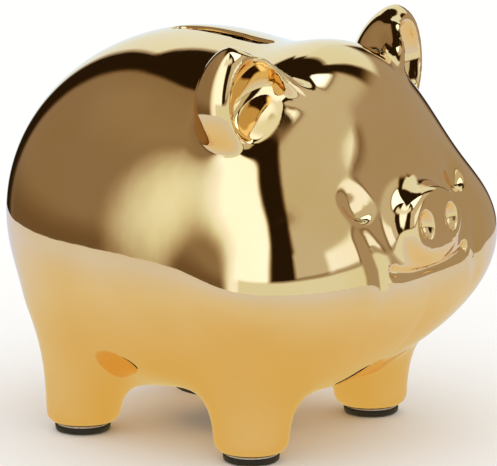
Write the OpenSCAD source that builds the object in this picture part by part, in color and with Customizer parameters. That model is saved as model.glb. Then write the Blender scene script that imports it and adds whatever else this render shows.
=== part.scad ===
// Piggy bank, slip-cast in one hollow shell: barrel body, broad face, snout and four legs.
// The ears and the tail are formed apart and luted on. Four rubber pads are stuck under the
// legs, and a rubber stopper closes the hole in the belly.
// Millimetres. The floor is Z = 0, the nose points along -Y and +X is the animal's left.

/* [Body] */
// width of the barrel
body_w = 124; // [104:1:148]
// length of the barrel without the face
body_l = 117; // [98:1:140]
// height of the barrel, belly to back
body_h = 111; // [93:1:133]
// clearance from the floor to the bottom of the barrel
belly_gap = 11; // [9:0.5:14]
// thickness of the ceramic wall
wall = 4; // [3:0.1:4.8]

/* [Snout] */
// height of the flat oval at the end of the snout
snout_h = 21; // [18:0.5:25]
// width of the same oval
snout_w = 29; // [25:0.5:34]
// how far the snout stands out of the face
snout_out = 8.5; // [7:0.5:10.5]

/* [Legs and pads] */
// diameter of a leg near its foot
leg_d = 22; // [19:0.5:26]
// diameter of a rubber pad
pad_d = 17.2; // [14:0.2:18.4]
// thickness of a rubber pad
pad_t = 2; // [1.6:0.1:2.4]
// thickness of the adhesive disc between leg and pad
glue_t = 0.4; // [0.3:0.1:0.5]

/* [Coin slot and stopper] */
// length of the coin slot
slot_l = 36; // [30:0.5:43]
// width of the coin slot
slot_w = 6; // [5:0.1:7.2]
// diameter of the hole in the belly
hole_d = 28; // [23:0.5:33]
// radial clearance of the stopper in the hole
stopper_gap = 0.05; // [0.02:0.01:0.1]

/* [Hidden] */
$fn = 64;

gold = [0.83, 0.66, 0.36];
rubber = [0.07, 0.07, 0.07];
adhesive = [0.9, 0.88, 0.8];

// soft forms that melt into one another: centre, half sizes and width of the blend
body_c = [0, 0.108 * body_l, belly_gap + body_h / 2];
body_r = [body_w / 2, body_l / 2, body_h / 2];
head_c = [0, -0.273 * body_l, belly_gap + 0.531 * body_h];
head_r = [0.435 * body_w, 0.239 * body_l, 0.46 * body_h];
jaw_c = [0, -0.242 * body_l, belly_gap + 0.37 * body_h];
jaw_r = [0.371 * body_w, 0.342 * body_l, 0.239 * body_h];
cheek_c = [0.262 * body_w, -0.367 * body_l, belly_gap + 0.428 * body_h];
cheek_r = [0.248 * body_w, 0.198 * body_l, 0.198 * body_h];
head_blend = 30;
jaw_blend = 25;
cheek_blend = 18;
core = [0, -0.016 * body_l, belly_gap + 0.477 * body_h];
reach = norm([body_w, body_l, body_h]);

// snout, nostrils, eyes and mouth
snout_tilt = 6;
snout_z = belly_gap + 0.537 * body_h;
snout_edge = 3.5;
nostril_x = 0.23 * snout_w;
nostril_w = 4.2;
nostril_h = 8.6;
nostril_deep = 3.5;
eye_x = 0.213 * body_w;
eye_z = belly_gap + 0.643 * body_h;
eye_ball = 6.5;
eye_deep = 1.9;
mouth_x = 0.2 * body_w;
mouth_z = belly_gap + 0.413 * body_h;
mouth_rise = 0.045 * body_h;
mouth_r = 1.5;

// legs
stance_x = 0.27 * body_w;
front_y = -0.243 * body_l;
rear_y = 0.289 * body_l;
leg_z = pad_t + glue_t;
leg_r = leg_d / 2;
leg_top = belly_gap + 0.26 * body_h;
leg_root = 0.105 * body_w;
leg_edge = 3;
places = [["front_left", 1, front_y], ["front_right", -1, front_y],
          ["rear_left", 1, rear_y], ["rear_right", -1, rear_y]];

// pads and adhesive
glue_r = min(pad_d / 2 - 0.5, leg_r - leg_edge);
pad_edge = 0.5;

// ears
ear_c = [0.339 * body_w, -0.23 * body_l, belly_gap + 0.874 * body_h];
ear_r = [14.5, 11, 18.5];
cup_r = [11, 9, 15.5];
cup_shift = [1.5, -10.5, 0];
ear_turn = 12;

// tail: one turn of clay rope lying against the rump
tail_rope = 2.4;
tail_ring = 6;
tail_turn = 300;

// stopper
land_z = belly_gap + 1.8;
flange_r = hole_d / 2 + 2.5;
flange_t = 1.6;
neck_r = hole_d / 2 - stopper_gap;
neck_l = 4.3;
nose_l = 3.2;
nose_r = neck_r - 1.4;
stopper_wall = 2.2;
grip_l = 0.5 * hole_d;
grip_w = 3;
grip_h = 2.2;
stopper_y = 0.026 * body_l;

function over(a, b) = [a.x / b.x, a.y / b.y, a.z / b.z];
function ellipsoid_field(p, c, r) =
    let (q = over(p - c, r), k = norm(q)) k * (k - 1) / max(norm(over(q, r)), 0.0001);
function blend(a, b, k) =
    let (h = max(k - abs(a - b), 0) / k) min(a, b) - h * h * h * k / 6;
function field(p) =
    let (barrel = ellipsoid_field(p, body_c, body_r),
         head = ellipsoid_field(p, head_c, head_r),
         jaw = ellipsoid_field(p, jaw_c, jaw_r),
         cheek = ellipsoid_field([abs(p.x), p.y, p.z], cheek_c, cheek_r))
    blend(blend(blend(barrel, head, head_blend), jaw, jaw_blend), cheek, cheek_blend);

// walk from outside along the ray o + r d until the field falls to level
function walk(o, d, level, r, n) =
    n == 0 ? o + r * d : walk(o, d, level, r - (field(o + r * d) - level), n - 1);
function skin_at(o, d, level = 0) = walk(o, d, level, reach, 18);

// rings of points about the long axis, from the nose pole to the rump pole
function ring_dir(t, a) = [sin(t) * sin(a), -cos(t), sin(t) * cos(a)];
function skin_points(level, around, along) = [
    skin_at(core, [0, -1, 0], level),
    for (j = [1 : along - 1], i = [0 : around - 1])
        skin_at(core, ring_dir(180 * j / along, 360 * i / around), level),
    skin_at(core, [0, 1, 0], level)];
function skin_faces(around, along) =
    let (last = 1 + (along - 1) * around)
    [for (i = [0 : around - 1])
        let (k = (i + 1) % around, e = last - around)
        each concat(
            [[0, 1 + i, 1 + k], [last, e + k, e + i]],
            [for (j = [0 : along - 3])
                let (a = 1 + j * around + i, b = 1 + j * around + k)
                each [[a, a + around, b + around], [a, b + around, b]]])];

module skin(level = 0, around = 48, along = 26) {
    polyhedron(points = skin_points(level, around, along),
               faces = skin_faces(around, along), convexity = 4);
}

module ellipsoid(r) {
    scale([r.x, r.y, r.z]) sphere(r = 1);
}

// outline of a leg: rounded foot, shank widening towards the root inside the belly
module leg_half(r, root, z0, edge, top) {
    polygon(concat(
        [[0, z0]],
        [for (a = [0 : 15 : 90]) [r - edge + edge * sin(a), z0 + edge - edge * cos(a)]],
        [[root, top], [0, top]]));
}

module legs(inset = 0) {
    for (s = [-1, 1], y = [front_y, rear_y])
        translate([s * stance_x, y, 0])
            rotate_extrude()
                leg_half(leg_r - inset, leg_root - inset, leg_z + inset, leg_edge, leg_top + inset);
}

// half outline of the snout: straight sides and a rounded rim, the axis pointing out
module snout_half(length) {
    r = snout_h / 2;
    polygon(concat(
        [[0, 0], [r, 0]],
        [for (a = [0 : 15 : 90])
            [r - snout_edge + snout_edge * cos(a), length - snout_edge + snout_edge * sin(a)]],
        [[0, length]]));
}

module snout_blank(length) {
    spread = (snout_w - snout_h) / 2;
    for (s = [-1, 1])
        translate([s * spread, 0, 0]) rotate_extrude() snout_half(length);
    translate([-spread, 0, 0])
        rotate([90, 0, 90])
            linear_extrude(2 * spread) {
                snout_half(length);
                mirror([1, 0]) snout_half(length);
            }
}

module at_snout() {
    root = skin_at([0, core.y, snout_z], [0, -1, 0]);
    translate([0, root.y + 6, snout_z]) rotate([90 - snout_tilt, 0, 0]) children();
}

module nostrils(length) {
    half = (nostril_h - nostril_w) / 2;
    for (s = [-1, 1]) translate([s * nostril_x, 0, length - nostril_deep]) {
        for (e = [-1, 1]) translate([0, e * half, 0]) cylinder(d = nostril_w, h = 10);
        translate([-nostril_w / 2, -half, 0]) cube([nostril_w, 2 * half, 10]);
    }
}

module eyes() {
    for (s = [-1, 1])
        translate(skin_at([s * eye_x, core.y, eye_z], [0, -1, 0])
                  + (eye_ball - eye_deep) * [s * 0.35, -0.9, 0.26])
            sphere(r = eye_ball);
}

function mouth_point(u) =
    skin_at([u * mouth_x, core.y, mouth_z + mouth_rise * u * u], [0, -1, 0]);

// the smile is one arc through the middle and the two corners of the mouth
module mouth() {
    low = mouth_point(0);
    rise = mouth_point(1) - low;
    sag = norm([rise.y, rise.z]);
    ring = (mouth_x * mouth_x + sag * sag) / (2 * sag);
    half = asin(mouth_x / ring);
    translate(low)
        rotate([atan2(rise.z, rise.y), 0, 0])
            translate([0, ring, 0])
                rotate([0, 0, -90 - half])
                    rotate_extrude(angle = 2 * half) translate([ring, 0]) circle(r = mouth_r);
}

module coin_slot() {
    half = (slot_l - slot_w) / 2;
    translate([0, 0.039 * body_l, body_c.z]) {
        for (s = [-1, 1]) translate([0, s * half, 0]) cylinder(d = slot_w, h = body_h);
        translate([-slot_w / 2, -half, 0]) cube([slot_w, 2 * half, body_h]);
    }
}

module body_shell() {
    length = snout_out + 6;
    color(gold) difference() {
        union() {
            skin();
            legs();
            at_snout() snout_blank(length);
        }
        skin(-wall, 36, 20);
        legs(wall);
        at_snout() nostrils(length);
        eyes();
        mouth();
        coin_slot();
        translate([0, stopper_y, 0]) cylinder(d = hole_d, h = body_c.z);
        translate([0, stopper_y, 0]) cylinder(r = flange_r + 1, h = land_z);
    }
}

module ear(side) {
    color(gold) difference() {
        translate([side * ear_c.x, ear_c.y, ear_c.z])
            rotate([0, 0, side * ear_turn])
                difference() {
                    ellipsoid(ear_r);
                    translate([side * cup_shift.x, cup_shift.y, cup_shift.z]) ellipsoid(cup_r);
                }
        skin();
    }
}

module tail() {
    root = skin_at([0, core.y, body_c.z + 4], [0, 1, 0]);
    color(gold) difference() {
        translate([0, root.y + 0.6, root.z])
            rotate([90, 30, 0])
                rotate_extrude(angle = tail_turn) translate([tail_ring, 0]) circle(r = tail_rope);
        skin();
    }
}

module belly_stopper() {
    top = land_z + neck_l + nose_l;
    color(rubber) translate([0, stopper_y, 0]) {
        rotate_extrude() polygon([
            [0, land_z - flange_t], [flange_r - 0.6, land_z - flange_t],
            [flange_r, land_z - flange_t + 0.6], [flange_r, land_z],
            [neck_r, land_z], [neck_r, land_z + neck_l], [nose_r, top],
            [nose_r - stopper_wall, top], [neck_r - stopper_wall, land_z + neck_l],
            [neck_r - stopper_wall, land_z + 1.2], [0, land_z + 1.2]]);
        translate([-grip_l / 2, -grip_w / 2, land_z - flange_t - grip_h])
            cube([grip_l, grip_w, grip_h + 0.4]);
    }
}

module foot_pad(place) {
    r = pad_d / 2;
    color(rubber) translate([place[1] * stance_x, place[2], 0])
        rotate_extrude() polygon([
            [0, 0], [r - pad_edge, 0], [r, pad_edge], [r, pad_t], [0, pad_t]]);
}

module pad_glue(place) {
    color(adhesive) translate([place[1] * stance_x, place[2], pad_t])
        cylinder(r = glue_r, h = glue_t);
}

body_shell();
ear(1);  // ear_left
ear(-1);  // ear_right
tail();
belly_stopper();
foot_pad(places[0]);  // foot_pad_front_left
foot_pad(places[1]);  // foot_pad_front_right
foot_pad(places[2]);  // foot_pad_rear_left
foot_pad(places[3]);  // foot_pad_rear_right
pad_glue(places[0]);  // pad_glue_front_left
pad_glue(places[1]);  // pad_glue_front_right
pad_glue(places[2]);  // pad_glue_rear_left
pad_glue(places[3]);  // pad_glue_rear_right
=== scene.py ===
"""Piggy bank: a hollow slip-cast pig in mirror gold lustre, with luted ears and tail, a coin
slot in the back, a rubber stopper under the belly and four stick-on rubber pads.

Metres in Blender, as the frame gives them. The form is worked out in millimetres, with the
nose along -Y, +X the animal's left and the floor at Z = 0."""

import math

import bmesh
import bpy
import numpy as np
from mathutils import Matrix, Vector


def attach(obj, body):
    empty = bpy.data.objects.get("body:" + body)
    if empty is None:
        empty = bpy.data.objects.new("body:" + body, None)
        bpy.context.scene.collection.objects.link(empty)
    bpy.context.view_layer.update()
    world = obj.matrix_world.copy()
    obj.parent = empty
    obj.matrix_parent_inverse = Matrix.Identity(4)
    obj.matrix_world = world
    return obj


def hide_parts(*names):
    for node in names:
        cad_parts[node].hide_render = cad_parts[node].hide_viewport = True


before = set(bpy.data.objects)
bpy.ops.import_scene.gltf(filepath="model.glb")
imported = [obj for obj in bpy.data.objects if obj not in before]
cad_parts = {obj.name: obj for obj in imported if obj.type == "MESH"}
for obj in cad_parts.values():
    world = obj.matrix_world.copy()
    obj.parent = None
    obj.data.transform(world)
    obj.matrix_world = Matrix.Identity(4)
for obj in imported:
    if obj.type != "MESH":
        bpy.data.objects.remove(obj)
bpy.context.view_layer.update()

MM = 0.001

# ---------------------------------------------------------------- sizes, in millimetres

BODY_W = 124.0
BODY_L = 117.0
BODY_H = 111.0
BELLY_GAP = 11.0
WALL = 4.0

SNOUT_H = 21.0
SNOUT_W = 29.0

LEG_D = 22.0
PAD_D = 17.2
PAD_T = 2.0
GLUE_T = 0.4

SLOT_L = 36.0
SLOT_W = 6.0
HOLE_D = 28.0

CELL = 1.15  # spacing of the mesh over the ceramic


def along(x, y, z):
    """A place on the pig, from shares of the barrel's width, length and height."""
    return np.array([x * BODY_W, y * BODY_L, BELLY_GAP + z * BODY_H])


STANCE_X = 0.27 * BODY_W
FRONT_Y = -0.243 * BODY_L
REAR_Y = 0.289 * BODY_L
STOPPER_Y = 0.026 * BODY_L
SLOT_Y = 0.039 * BODY_L
LAND_Z = BELLY_GAP + 1.8
LEG_Z = PAD_T + GLUE_T
RUMP = np.array([0.0, 71.1, 70.5])
EAR = np.array([42.5, -28.9, 108.5])
EAR_RIM = np.array([53.0, -33.9, 115.0])
SNOUT = along(0, -0.618, 0.548)
SNOUT_TILT = 6.0
NECK = np.array([28.0, -6.0, 63.0])  # fills the hollow of the flank between head and barrel
NECK_R = np.array([33.0, 50.0, 43.0])

# ---------------------------------------------------------------- soft forms, as distance fields


def ellipsoid(p, centre, radii):
    q = (p - centre) / radii
    k = np.linalg.norm(q, axis=-1)
    return k * (k - 1) / np.maximum(np.linalg.norm(q / radii, axis=-1), 1e-6)


def join(a, b, k):
    """Union of two forms with a soft fillet of width k."""
    h = np.maximum(k - np.abs(a - b), 0) / k
    return np.minimum(a, b) - h * h * h * k / 6


def meet(a, b, k):
    return -join(-a, -b, k)


def carve(a, b, k):
    """Form a with form b taken out of it, its edge rounded over width k."""
    return meet(a, -b, k)


def mirrored(p):
    return np.stack([np.abs(p[..., 0]), p[..., 1], p[..., 2]], -1)


def turned(p, centre, rx=0.0, ry=0.0, rz=0.0):
    """Points seen from a form's own axes, after it is turned by rx, ry and rz degrees."""
    turn = (
        Matrix.Rotation(math.radians(rz), 3, "Z")
        @ Matrix.Rotation(math.radians(ry), 3, "Y")
        @ Matrix.Rotation(math.radians(rx), 3, "X")
    )
    return (p - centre) @ np.array(turn)


def rope(p, points, radii):
    """A round rope through the points, with a radius at each."""
    points = np.asarray(points, float)
    out = np.full(p.shape[:-1], 1e3)
    for a, b, ra, rb in zip(points[:-1], points[1:], radii[:-1], radii[1:]):
        d = b - a
        t = np.clip(((p - a) @ d) / (d @ d), 0, 1)
        gap = np.linalg.norm(p - (a + t[..., None] * d), axis=-1)
        out = np.minimum(out, gap - (ra + (rb - ra) * t))
    return out


def inside_box(form, p, low, high, away=9.0):
    """A small form, worked out only in the box that holds it and put far away elsewhere."""
    near = np.all((p > low) & (p < high), axis=-1)
    out = np.full(p.shape[:-1], away)
    if near.any():
        out[near] = np.minimum(form(p[near]), away)
    return out


def rounded_post(radial, low, high, edge):
    """A post from its radial distance and its end distances, with rounded edges."""
    a, b = radial + edge, np.maximum(low, high) + edge
    return np.minimum(np.maximum(a, b), 0) + np.hypot(np.maximum(a, 0), np.maximum(b, 0)) - edge


def slope(field, p, h=0.05):
    g = [field(p + h * e) - field(p - h * e) for e in np.eye(3)]
    return np.stack(g, -1) / (2 * h)


# ---------------------------------------------------------------- the pig's forms


def barrel_and_face(p):
    m = mirrored(p)
    d = ellipsoid(p, along(0, 0.108, 0.5), [BODY_W / 2, BODY_L / 2, BODY_H / 2])
    head = ellipsoid(p, along(0, -0.273, 0.531), [0.435 * BODY_W, 0.239 * BODY_L, 0.46 * BODY_H])
    jaw = ellipsoid(p, along(0, -0.242, 0.37), [0.371 * BODY_W, 0.342 * BODY_L, 0.239 * BODY_H])
    cheek = ellipsoid(
        m, along(0.262, -0.367, 0.428), [0.248 * BODY_W, 0.198 * BODY_L, 0.198 * BODY_H]
    )
    d = join(join(join(d, head, 30), jaw, 25), cheek, 30)
    return join(d, ellipsoid(m, NECK, NECK_R), 14)


def on_face(x, z, out=0.0):
    """The point of the bare face at x and z, moved outwards along the skin's normal."""
    y = np.linspace(-90, -20, 1401)
    p = np.stack([np.full_like(y, x), y, np.full_like(y, z)], -1)
    point = p[np.argmax(barrel_and_face(p) < 0)]
    normal = slope(barrel_and_face, point[None])[0]
    return point + out * normal / np.linalg.norm(normal)


def legs(p):
    out = np.full(p.shape[:-1], 60.0)
    for y in (FRONT_Y, REAR_Y):
        rise = np.clip((p[..., 2] - LEG_Z) / 40, 0, 1)
        radial = np.hypot(np.abs(p[..., 0]) - STANCE_X, p[..., 1] - y) - (LEG_D / 2 + rise)
        out = np.minimum(out, rounded_post(radial, LEG_Z - p[..., 2], p[..., 2] - 42, 3.6))
    return out


def body_outside(p):
    return join(barrel_and_face(p), legs(p), 22)


def snout(p):
    q = turned(p, SNOUT, rx=-SNOUT_TILT)
    rx, rz = SNOUT_W / 2, SNOUT_H / 2
    face = q[..., [0, 2]] / [rx, rz]
    k = np.linalg.norm(face, axis=-1)
    oval = k * (k - 1) / np.maximum(np.linalg.norm(face / [rx, rz], axis=-1), 1e-6)
    flare = 1.6 * np.clip(q[..., 1] / 14, 0, 1.5) ** 2
    dome = 0.8 * k * k - 0.8
    return rounded_post(oval - flare, dome - q[..., 1], q[..., 1] - 24, 2.6)


def nostrils(p):
    q = mirrored(turned(p, SNOUT, rx=-SNOUT_TILT))
    return ellipsoid(turned(q, [6.9, -1.3, 0.2], ry=8), np.zeros(3), [3.0, 2.9, 4.3])


def leaf(q, radii, taper, tip):
    """An egg that is wider towards its top and ends in a soft point there."""
    up = q[..., 2] / radii[2]
    r = np.hypot(q[..., 0] / (radii[0] * (1 + taper * np.clip(up, -1, 1))), q[..., 1] / radii[1])
    power = np.where(up > 0, tip, 2.0)
    k = (r**power + np.abs(up) ** power) ** (1 / power)
    return (k - 1) * min(radii)


def ear_lobe(p):
    m = mirrored(p)
    lobe = leaf(turned(m, EAR, ry=11), [13.0, 12.0, 18.5], 0.10, 1.65)
    lobe = meet(lobe, (m - EAR_RIM) @ np.array([0.213, -0.976, 0.04]), 3.2)
    ridge_line = [[37.5, -34.0, 119.5], [31.0, -38.0, 114.5], [25.0, -41.0, 110.0]]
    ridge = rope(m, ridge_line, [3.2, 3.0, 2.2])
    return join(lobe, ridge, 5.0)


def ear_cup(p):
    q = turned(mirrored(p), EAR + [-1.0, -7.3, 0.3], ry=11)
    return leaf(q, [10.4, 8.6, 14.6], 0.22, 1.65)


def tail(p):
    """One curl of clay rope, pressed on the rump and thinning to its tip."""
    t = np.linspace(0, 1, 28)
    a, r = 0.4 + 2 * math.pi * 1.12 * t, 6.6 - 2.9 * t
    points = np.stack([r * np.cos(a), RUMP[1] + 0.7 + 0.6 * t, RUMP[2] + r * np.sin(a)], -1)
    return rope(p, points, 2.3 - 0.8 * t)


SMILE_X = np.linspace(-20, 20, 17)
SMILE = [
    on_face(x, 57.6 + 2.4 * abs(x / 20) ** 2.4, 0.35 - 0.2 * abs(x / 20) ** 4) for x in SMILE_X
]
SMILE_R = [0.8 + 0.8 * abs(x / 20) ** 5 for x in SMILE_X]
FOLD = [
    on_face(x, z, 4.2) for x, z in ((30.5, 72), (29, 67), (27.3, 62), (26.8, 57), (28.0, 51))
]
EYE = on_face(26.4, 82.4, 2.9)


def face_details(d, p):
    m = mirrored(p)
    smile = inside_box(lambda q: rope(q, SMILE, SMILE_R), p, [-30, -80, 45], [30, -50, 70])
    crease = lambda q: rope(q, FOLD, [2.6, 3.8, 4.2, 4.0, 2.8])
    fold = inside_box(crease, m, [14, -82, 38], [44, -40, 84])
    d = carve(d, fold, 5.5)
    d = carve(d, smile, 1.8)
    socket = lambda q: ellipsoid(turned(q, EYE, rz=20), np.zeros(3), [6.6, 3.4, 8.0])
    return carve(d, inside_box(socket, m, [10, -80, 66], [42, -40, 99]), 3.4)


def body_skin(p):
    d = body_outside(p)
    d = join(d, inside_box(snout, p, [-32, -90, 46], [32, -40, 98], 12.0), 11)
    d = carve(d, inside_box(nostrils, p, [-22, -84, 58], [22, -64, 88]), 1.6)
    return face_details(d, p)


def shell(p):
    """The whole ceramic: outside, hollow inside, slot and stopper hole."""
    d = body_skin(p)
    ears = lambda q: inside_box(ear_lobe, q, [14, -56, 78], [70, -4, 140])
    cups = lambda q: inside_box(ear_cup, q, [20, -60, 86], [66, -12, 134])
    ear = carve(ears(mirrored(p)), cups(mirrored(p)), 2.2)
    d = join(d, ear, 6.0)
    d = join(d, inside_box(tail, p, [-20, 56, 50], [20, 86, 92]), 1.2)
    d = carve(d, body_outside(p) + WALL, 1.0)
    x, y, z = p[..., 0], p[..., 1], p[..., 2]
    slot = np.hypot(x, np.maximum(np.abs(y - SLOT_Y) - (SLOT_L - SLOT_W) / 2, 0)) - SLOT_W / 2
    d = carve(d, np.maximum(slot, 90 - z), 1.6)
    ring = np.hypot(x, y - STOPPER_Y)
    d = carve(d, np.maximum(ring - HOLE_D / 2, z - 40), 0.8)
    return carve(d, np.maximum(ring - HOLE_D / 2 - 3.5, z - LAND_Z), 0.6)


# ---------------------------------------------------------------- surface of a field


def settle(field, p, rounds=3):
    """Move points along the slope until they lie on the field's surface."""
    for _ in range(rounds):
        g = slope(field, p)
        step = field(p) / np.maximum((g * g).sum(-1), 0.05)
        p = p - np.clip(step, -1, 1)[:, None] * g
    return p


def sampled(field, axes, band=4):
    """The field on a grid, worked out in full only near its surface."""
    coarse = [a[::band] for a in axes]
    f = field(np.stack(np.meshgrid(*coarse, indexing="ij"), -1))
    near = np.abs(f) < 2.2 * band * CELL
    out = f
    for k, a in enumerate(axes):
        out = np.repeat(out, band, axis=k)
        near = np.repeat(near, band, axis=k)
    shape = tuple(len(a) for a in axes)
    out = out[: shape[0], : shape[1], : shape[2]].copy()
    near = near[: shape[0], : shape[1], : shape[2]]
    i, j, k = np.nonzero(near)
    points = np.stack([axes[0][i], axes[1][j], axes[2][k]], -1)
    out[i, j, k] = np.concatenate([field(c) for c in np.array_split(points, 12)])
    return out


def surface_nets(f, axes):
    """One point for each cell the surface crosses, and one quad for each edge it crosses."""
    inside = f < 0
    corners = [(a, b, c) for a in (0, 1) for b in (0, 1) for c in (0, 1)]
    nx, ny, nz = (n - 1 for n in f.shape)
    count = sum(
        inside[a : a + nx, b : b + ny, c : c + nz].astype(np.int8) for a, b, c in corners
    )
    cells = np.argwhere((count > 0) & (count < 8))
    index = -np.ones(count.shape, np.int64)
    index[tuple(cells.T)] = np.arange(len(cells))
    spot, value = {}, {}
    for c in corners:
        n = cells + c
        value[c] = f[tuple(n.T)]
        spot[c] = np.stack([axes[k][n[:, k]] for k in range(3)], -1)
    total, hits = np.zeros((len(cells), 3)), np.zeros(len(cells))
    for a in corners:
        for b in corners:
            if a < b and sum(abs(u - v) for u, v in zip(a, b)) == 1:
                cross = (value[a] < 0) != (value[b] < 0)
                t = value[a][cross] / (value[a][cross] - value[b][cross])
                total[cross] += spot[a][cross] + t[:, None] * (spot[b][cross] - spot[a][cross])
                hits[cross] += 1
    quads = []
    for k in range(3):
        u, v = [(1, 2), (2, 0), (0, 1)][k]
        low = np.take(inside, range(f.shape[k] - 1), axis=k)
        high = np.take(inside, range(1, f.shape[k]), axis=k)
        edges = np.argwhere(low != high)
        edges = edges[(edges[:, u] > 0) & (edges[:, v] > 0)]
        out = low[tuple(edges.T)]
        loop = []
        for du, dv in ((1, 1), (0, 1), (0, 0), (1, 0)):
            cell = edges.copy()
            cell[:, u] -= du
            cell[:, v] -= dv
            loop.append(index[tuple(cell.T)])
        q = np.stack(loop, -1)
        q[~out] = q[~out][:, ::-1]
        quads.append(q)
    return total / hits[:, None], np.concatenate(quads)


def relaxed(field, p, quads, rounds=2):
    """Even out the mesh along the surface, without leaving it."""
    for _ in range(rounds):
        total, n = np.zeros_like(p), np.zeros(len(p))
        for k in range(4):
            for other in (quads[:, (k + 1) % 4], quads[:, k - 1]):
                np.add.at(total, quads[:, k], p[other])
                np.add.at(n, quads[:, k], 1)
        p = settle(field, p + 0.5 * (total / n[:, None] - p), 1)
    return p


def mesh_piece(name, points, faces, normals, material):
    """A Blender object from points in millimetres, smooth with the given normals."""
    used, renumbered = np.unique(faces, return_inverse=True)
    mesh = bpy.data.meshes.new(name)
    mesh.from_pydata(
        (points[used] * MM).tolist(), [], renumbered.reshape(faces.shape).tolist()
    )
    mesh.polygons.foreach_set("use_smooth", [True] * len(mesh.polygons))
    mesh.normals_split_custom_set_from_vertices(normals[used].tolist())
    mesh.materials.append(material)
    piece = bpy.data.objects.new(name, mesh)
    bpy.context.scene.collection.objects.link(piece)
    return piece


# ---------------------------------------------------------------- materials


def linear(code):
    """An sRGB hex colour as linear red, green, blue and alpha."""
    out = []
    for k in (0, 2, 4):
        c = int(code[k : k + 2], 16) / 255
        out.append(c / 12.92 if c <= 0.04045 else ((c + 0.055) / 1.055) ** 2.4)
    return (*out, 1.0)


def node(tree, kind, settings=(), **links):
    """Add a node, set its properties and sockets, and link the sockets given as outputs."""
    n = tree.nodes.new(kind)
    for key, value in dict(settings).items():
        if hasattr(n, key):
            setattr(n, key, value)
        else:
            n.inputs[key].default_value = value
    for key, source in links.items():
        tree.links.new(source, n.inputs[key.replace("_", " ")])
    return n


def new_material(name):
    m = bpy.data.materials.new(name)
    m.use_nodes = True
    m.node_tree.nodes.clear()
    return m, m.node_tree


def gold_lustre():
    """Ceramic with a fired gold lustre: a mirror-bright metal skin over a glaze, whose slow
    waves bend what it reflects, with faint clouding where the lustre went on thinner."""
    m, t = new_material("gold_lustre_on_glaze")
    place = node(t, "ShaderNodeTexCoord")
    cloud = node(
        t, "ShaderNodeTexNoise", {"Scale": 1000 / 28, "Detail": 3.0}, Vector=place.outputs["Object"]
    )
    tint = node(t, "ShaderNodeValToRGB", {}, Fac=cloud.outputs["Fac"])
    tint.color_ramp.elements[0].position = 0.35
    tint.color_ramp.elements[0].color = linear("FFDCA0")
    tint.color_ramp.elements[1].position = 0.7
    tint.color_ramp.elements[1].color = linear("FCD690")
    haze = node(
        t,
        "ShaderNodeMapRange",
        {"From Min": 0.3, "From Max": 0.8, "To Min": 0.025, "To Max": 0.06},
        Value=cloud.outputs["Fac"],
    )
    glaze = node(
        t, "ShaderNodeTexNoise", {"Scale": 1000 / 9, "Detail": 1.5}, Vector=place.outputs["Object"]
    )
    wave = node(
        t, "ShaderNodeBump", {"Strength": 1.0, "Distance": 0.04 * MM}, Height=glaze.outputs["Fac"]
    )
    skin = node(
        t,
        "ShaderNodeBsdfPrincipled",
        {"Metallic": 1.0},
        Base_Color=tint.outputs["Color"],
        Roughness=haze.outputs["Result"],
        Normal=wave.outputs["Normal"],
    )
    node(t, "ShaderNodeOutputMaterial", {}, Surface=skin.outputs["BSDF"])
    return m


def moulded_rubber():
    """Black rubber, moulded and slightly matt, with a fine grain and a little bloom of dust."""
    m, t = new_material("moulded_black_rubber")
    place = node(t, "ShaderNodeTexCoord")
    bloom = node(
        t, "ShaderNodeTexNoise", {"Scale": 1000 / 4, "Detail": 4.0}, Vector=place.outputs["Object"]
    )
    tint = node(t, "ShaderNodeValToRGB", {}, Fac=bloom.outputs["Fac"])
    tint.color_ramp.elements[0].position = 0.4
    tint.color_ramp.elements[0].color = linear("0C0C0D")
    tint.color_ramp.elements[1].position = 0.75
    tint.color_ramp.elements[1].color = linear("1C1B1A")
    grain = node(
        t,
        "ShaderNodeTexNoise",
        {"Scale": 1000 / 0.6, "Detail": 2.0},
        Vector=place.outputs["Object"],
    )
    bumps = node(
        t, "ShaderNodeBump", {"Strength": 0.4, "Distance": 0.05 * MM}, Height=grain.outputs["Fac"]
    )
    skin = node(
        t,
        "ShaderNodeBsdfPrincipled",
        {"Roughness": 0.55, "IOR": 1.52},
        Base_Color=tint.outputs["Color"],
        Normal=bumps.outputs["Normal"],
    )
    node(t, "ShaderNodeOutputMaterial", {}, Surface=skin.outputs["BSDF"])
    return m


def adhesive_foam():
    """Cut foam tape: pale, matt, with open cells a few tenths of a millimetre wide."""
    m, t = new_material("cut_adhesive_foam")
    place = node(t, "ShaderNodeTexCoord")
    cells = node(
        t, "ShaderNodeTexVoronoi", {"Scale": 1000 / 0.5}, Vector=place.outputs["Object"]
    )
    tint = node(t, "ShaderNodeValToRGB", {}, Fac=cells.outputs["Distance"])
    tint.color_ramp.elements[0].color = linear("B9AE96")
    tint.color_ramp.elements[1].color = linear("E9E2D0")
    pits = node(
        t,
        "ShaderNodeBump",
        {"Strength": 0.5, "Distance": 0.05 * MM},
        Height=cells.outputs["Distance"],
    )
    skin = node(
        t,
        "ShaderNodeBsdfPrincipled",
        {"Roughness": 0.8, "IOR": 1.45},
        Base_Color=tint.outputs["Color"],
        Normal=pits.outputs["Normal"],
    )
    node(t, "ShaderNodeOutputMaterial", {}, Surface=skin.outputs["BSDF"])
    return m


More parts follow.
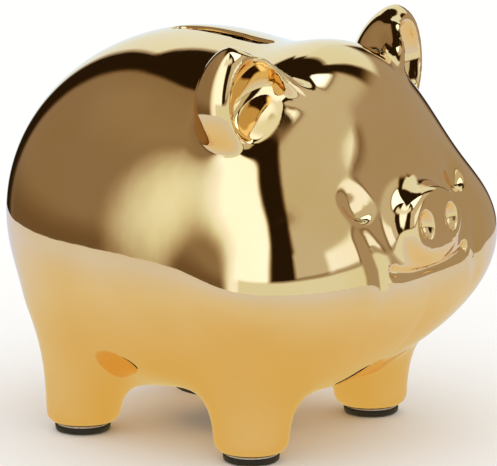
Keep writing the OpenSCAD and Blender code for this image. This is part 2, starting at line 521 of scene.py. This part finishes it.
def bisque():
    """Once-fired earthenware left unglazed inside: chalky, slightly mottled, with fine pores."""
    m, t = new_material("unglazed_bisque")
    place = node(t, "ShaderNodeTexCoord")
    clay = node(
        t, "ShaderNodeTexNoise", {"Scale": 1000 / 6, "Detail": 5.0}, Vector=place.outputs["Object"]
    )
    tint = node(t, "ShaderNodeValToRGB", {}, Fac=clay.outputs["Fac"])
    tint.color_ramp.elements[0].color = linear("C9B79C")
    tint.color_ramp.elements[1].color = linear("E4D8C4")
    pores = node(
        t, "ShaderNodeBump", {"Strength": 0.5, "Distance": 0.08 * MM}, Height=clay.outputs["Fac"]
    )
    skin = node(
        t,
        "ShaderNodeBsdfPrincipled",
        {"Roughness": 0.85, "IOR": 1.5},
        Base_Color=tint.outputs["Color"],
        Normal=pores.outputs["Normal"],
    )
    node(t, "ShaderNodeOutputMaterial", {}, Surface=skin.outputs["BSDF"])
    return m


GOLD = gold_lustre()
BISQUE = bisque()
RUBBER = moulded_rubber()
FOAM = adhesive_foam()

# ---------------------------------------------------------------- the ceramic


def build_ceramic():
    low, high = np.array([-67.0, -79.0, 1.2]), np.array([67.0, 78.0, 131.0])
    axes = [np.arange(a, b, CELL) for a, b in zip(low, high)]
    points, quads = surface_nets(sampled(shell, axes), axes)
    points = settle(shell, points, 3)
    points = relaxed(shell, points, quads)
    points = settle(shell, points, 1)
    normals = slope(shell, points, 0.12)
    normals /= np.maximum(np.linalg.norm(normals, axis=-1, keepdims=True), 1e-9)
    centre = points[quads].mean(axis=1)
    skin = body_skin(centre)
    on_ear = (skin > 0.25) & (np.abs(centre[:, 0]) > 20) & (centre[:, 2] > 86)
    on_ear &= np.minimum(np.abs(ear_lobe(centre)), np.abs(ear_cup(centre))) < 3.0
    on_tail = (skin > 0.25) & (centre[:, 1] > 60) & (np.abs(centre[:, 0]) < 12)
    inner = body_outside(centre) < 0.7 - WALL
    for name, where, stands_for in (
        ("glazed_shell", ~(on_ear | on_tail), "body_shell"),
        ("glazed_ear_left", on_ear & (centre[:, 0] > 0), "ear_left"),
        ("glazed_ear_right", on_ear & (centre[:, 0] < 0), "ear_right"),
        ("glazed_tail", on_tail, "tail"),
    ):
        piece = mesh_piece(name, points, quads[where], normals, GOLD)
        if name == "glazed_shell":
            piece.data.materials.append(BISQUE)
            piece.data.polygons.foreach_set("material_index", inner[where].astype(int))
        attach(piece, "bank")
        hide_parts(stands_for)


build_ceramic()

# ---------------------------------------------------------------- rubber and adhesive


def rounded(profile, bends, steps=6):
    """An outline of (radius, height) points with an arc of the given radius at each bend."""
    out = []
    for i, (point, bend) in enumerate(zip(profile, bends)):
        p = np.array(point, float)
        if not bend:
            out.append(p)
            continue
        a, b = np.array(profile[i - 1]) - p, np.array(profile[i + 1]) - p
        a, b = a / np.linalg.norm(a), b / np.linalg.norm(b)
        half = math.acos(np.clip(a @ b, -1, 1)) / 2
        centre = p + (a + b) / np.linalg.norm(a + b) * bend / math.sin(half)
        start, end = p + a * bend / math.tan(half) - centre, p + b * bend / math.tan(half) - centre
        for k in range(steps + 1):
            v = start + (end - start) * k / steps
            out.append(centre + v / np.linalg.norm(v) * bend)
    return out


def turned_piece(name, outline, x, y, material, around=96):
    """A round piece spun from its half outline, which starts and ends on the axis."""
    rings, points, faces = [], [], []
    for r, z in outline:
        ring = []
        for i in range(1 if r < 1e-6 else around):
            a = 2 * math.pi * i / around
            ring.append(len(points))
            points.append(((x + r * math.cos(a)) * MM, (y + r * math.sin(a)) * MM, z * MM))
        rings.append(ring)
    for low, high in zip(rings[:-1], rings[1:]):
        for i in range(around):
            k = (i + 1) % around
            loop = [low[i % len(low)], low[k % len(low)], high[k % len(high)], high[i % len(high)]]
            faces.append(list(dict.fromkeys(loop)))
    mesh = bpy.data.meshes.new(name)
    mesh.from_pydata(points, [], faces)
    mesh.polygons.foreach_set("use_smooth", [True] * len(faces))
    mesh.set_sharp_from_angle(angle=math.radians(40))
    mesh.materials.append(material)
    piece = bpy.data.objects.new(name, mesh)
    bpy.context.scene.collection.objects.link(piece)
    return piece


def build_feet():
    r = PAD_D / 2
    for place, x, y in (
        ("front_left", STANCE_X, FRONT_Y),
        ("front_right", -STANCE_X, FRONT_Y),
        ("rear_left", STANCE_X, REAR_Y),
        ("rear_right", -STANCE_X, REAR_Y),
    ):
        outline = rounded([(0, 0), (r - 0.25, 0), (r, PAD_T), (0, PAD_T)], [0, 0.6, 0.45, 0])
        pad = turned_piece("pad_" + place, outline, x, y, RUBBER)
        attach(pad, "bank")
        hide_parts("foot_pad_" + place)
        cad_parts["pad_glue_" + place].material_slots[0].material = FOAM


def build_stopper():
    """A moulded push-in stopper: a rounded flange, a hollow neck, and a bar across the bottom
    to pull it out by."""
    flange, neck = HOLE_D / 2 + 2.5, HOLE_D / 2 - 0.05
    low, top = LAND_Z - 1.6, LAND_Z + 7.5
    outline = rounded(
        [
            (0, low + 0.5), (flange - 4.2, low + 0.5), (flange - 3.4, low), (flange, low),
            (flange, LAND_Z), (neck, LAND_Z), (neck, LAND_Z + 4.3), (neck - 1.4, top),
            (neck - 3.6, top), (neck - 2.2, LAND_Z + 4.3), (neck - 2.2, LAND_Z + 1.2),
            (0, LAND_Z + 1.2),
        ],
        [0, 0.3, 0.3, 0.7, 0.3, 0.2, 0.6, 0.5, 0.4, 0.3, 0.5, 0],
    )
    body = turned_piece("stopper_moulding", outline, 0, STOPPER_Y, RUBBER, 128)
    bar = bmesh.new()
    bmesh.ops.create_cube(bar, size=1.0)
    bmesh.ops.scale(bar, vec=(HOLE_D / 2 * MM, 3 * MM, 2.6 * MM), verts=bar.verts)
    bmesh.ops.translate(bar, vec=(0, STOPPER_Y * MM, (low + 0.7 - 1.3) * MM), verts=bar.verts)
    bmesh.ops.bevel(
        bar, geom=bar.edges[:], offset=0.8 * MM, segments=4, profile=0.5, affect="EDGES"
    )
    grip_mesh = bpy.data.meshes.new("stopper_grip")
    bar.to_mesh(grip_mesh)
    bar.free()
    grip_mesh.polygons.foreach_set("use_smooth", [True] * len(grip_mesh.polygons))
    grip_mesh.materials.append(RUBBER)
    grip = bpy.data.objects.new("stopper_grip", grip_mesh)
    bpy.context.scene.collection.objects.link(grip)
    for piece in (body, grip):
        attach(piece, "stopper")
        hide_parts("belly_stopper")


build_feet()
build_stopper()

# ---------------------------------------------------------------- camera

AZIMUTH, ELEVATION, DISTANCE = -55.7, 12.35, 1.25


def outward(azimuth, elevation):
    a, e = math.radians(azimuth), math.radians(elevation)
    return Vector((math.sin(a) * math.cos(e), -math.cos(a) * math.cos(e), math.sin(e)))


def add_camera():
    centre = Vector((0, 0.0051, 0.065))
    back = outward(AZIMUTH, ELEVATION)
    side = Vector((math.cos(math.radians(AZIMUTH)), math.sin(math.radians(AZIMUTH)), 0))
    rise = back.cross(side)
    aim = centre + 0.0083 * side - 0.0061 * rise
    data = bpy.data.cameras.new("camera")
    data.lens = 295.5
    data.sensor_width = 36
    data.clip_end = 20
    data.dof.use_dof = False
    camera = bpy.data.objects.new("camera", data)
    camera.location = centre + DISTANCE * back
    camera.rotation_euler = (camera.location - aim).to_track_quat("Z", "Y").to_euler()
    bpy.context.scene.collection.objects.link(camera)
    bpy.context.scene.camera = camera


add_camera()

# ---------------------------------------------------------------- floor and light tent

TENT_R = 0.36

# Soft boxes on the tent, painted one over another: from and to round the bank in degrees, 0 at
# the camera and positive to its right; from and to above the floor; soft edge; brightness.
SOFT_BOXES = (
    ("backdrop", (-200, -158), (-30, 50), 3, 0.80),
    ("backdrop_right", (160, 200), (-30, 55), 3, 0.80),
    ("side", (-140, -40), (-30, 72), 6, 0.26),
    ("side_top", (-125, -60), (45, 70), 30, 0.30),
    ("side_low", (-140, -34), (-30, 0), 16, 0.15),
    ("front_fade", (-57, -20), (-24, 110), 16, 0.95),
    ("front", (-46, -1), (4, 100), 8, 1.15),
    ("front_low", (-40, 104), (-30, 6), 3, 0.72),
    ("front_right", (26, 60), (8, 34), 3, 0.55),
    ("right_strip", (56, 86), (8, 30), 5, 0.95),
    ("right", (28, 112), (26, 52), 6, 0.55),
    ("over_front", (-30, 30), (56, 70), 8, 0.80),
    ("high_right", (46, 108), (54, 100), 3, 1.60),
    ("right_rear", (88, 150), (-30, 34), 10, 0.38),
    ("rear", (126, 166), (30, 58), 4, 0.75),
)


def soft_box(value, low, high, soft):
    rise = np.clip((value - low) / soft + 0.5, 0, 1)
    fall = np.clip((high - value) / soft + 0.5, 0, 1)
    return rise * rise * (3 - 2 * rise) * fall * fall * (3 - 2 * fall)


def tent_brightness(around, above):
    level = 0.018
    for _, az, el, soft, strength in SOFT_BOXES:
        mask = soft_box(around, az[0], az[1], soft) * soft_box(above, el[0], el[1], soft)
        level = level + (strength - level) * mask
    return level


def plain(name, colour):
    m, t = new_material(name)
    skin = node(
        t,
        "ShaderNodeBsdfPrincipled",
        {"Base Color": linear(colour), "Roughness": 0.9, "Specular IOR Level": 0.0},
    )
    node(t, "ShaderNodeOutputMaterial", {}, Surface=skin.outputs["BSDF"])
    return m


def table_top_painted_glow():
    """A pale table seen only in reflections, with painted light in its colour: gold and darker
    close to the bank, a painted reflection of the gold's warm glow and painted shade under it,
    paler and cooler farther off.
    """
    m, t = new_material("table_top_painted_glow")
    place = node(t, "ShaderNodeTexCoord")
    away = node(
        t, "ShaderNodeVectorMath", {"operation": "LENGTH"}, Vector=place.outputs["Object"]
    )
    share = node(
        t, "ShaderNodeMapRange", {"From Min": 0.04, "From Max": 0.25}, Value=away.outputs["Value"]
    )
    # painted glow and shade: the colour runs from gold and darker by the bank to pale and cool
    # farther off
    tint = node(t, "ShaderNodeValToRGB", {}, Fac=share.outputs["Result"])
    tint.color_ramp.elements[0].color = linear("D7C083")
    tint.color_ramp.elements[1].color = linear("D4DCF7")
    tint.color_ramp.elements.new(0.43).color = linear("DAD6C8")
    skin = node(
        t,
        "ShaderNodeBsdfPrincipled",
        {"Roughness": 0.9, "Specular IOR Level": 0.0},
        Base_Color=tint.outputs["Color"],
    )
    node(t, "ShaderNodeOutputMaterial", {}, Surface=skin.outputs["BSDF"])
    return m


def stage_mesh(name, points, faces, material):
    mesh = bpy.data.meshes.new(name)
    mesh.from_pydata(points, [], faces)
    mesh.materials.append(material)
    o = bpy.data.objects.new(name, mesh)
    bpy.context.scene.collection.objects.link(o)
    return o


def build_tent():
    """A dome of light round the bank, seen only in its reflections."""
    points, faces, glow = [], [], []
    wide, tall = 180, 56
    centre = Vector((0, 0, 0.065))
    for j in range(tall + 1):
        for i in range(wide):
            around, above = -180 + 360 * i / wide, -22 + 112 * j / tall
            points.append(centre + TENT_R * outward(AZIMUTH + around, above))
            level = float(tent_brightness(around, above))
            warm = min(level, 1.0)  # dim parts of the tent glow warmer than bright ones
            green, blue = min(0.55 + 0.85 * warm, 1.18), min(0.2 + 1.45 * warm, 1.6)
            glow += [level, level * green, level * blue, 1.0]
    for j in range(tall):
        for i in range(wide):
            k = (i + 1) % wide
            faces.append((j * wide + i, j * wide + k, (j + 1) * wide + k, (j + 1) * wide + i))
    m, t = new_material("tent_light")
    m.cycles.emission_sampling = "NONE"
    level = node(t, "ShaderNodeAttribute", {"attribute_name": "glow"})
    light = node(t, "ShaderNodeEmission", {}, Color=level.outputs["Color"])
    node(t, "ShaderNodeOutputMaterial", {}, Surface=light.outputs["Emission"])
    tent = stage_mesh("light_tent", points, faces, m)
    tent.data.attributes.new("glow", "FLOAT_COLOR", "POINT").data.foreach_set("color", glow)
    tent.visible_camera = tent.visible_diffuse = tent.visible_shadow = False


def build_floor():
    square = [(-1, -1), (1, -1), (1, 1), (-1, 1)]
    floor = stage_mesh(
        "floor",
        [(6 * x, 6 * y, -0.0002) for x, y in square],
        [(0, 1, 2, 3)],
        plain("white_floor", "FCFBF9"),
    )
    floor.visible_glossy = False
    # the table, seen only in reflections, carries painted warm glow and painted shade near the bank
    table = stage_mesh(
        "table", [(0.5 * x, 0.5 * y, -0.0004) for x, y in square], [(0, 1, 2, 3)], table_top_painted_glow()
    )
    table.visible_camera = table.visible_diffuse = table.visible_shadow = False


def build_daylight():
    world = bpy.data.worlds.new("studio")
    world.use_nodes = True
    t = world.node_tree
    t.nodes.clear()
    sky = node(t, "ShaderNodeBackground", {"Color": (1, 1, 1, 1), "Strength": 1.05})
    node(t, "ShaderNodeOutputWorld", {}, Surface=sky.outputs[0])
    bpy.context.scene.world = world
    bpy.context.scene.view_settings.view_transform = "Standard"


build_tent()
build_floor()
build_daylight()
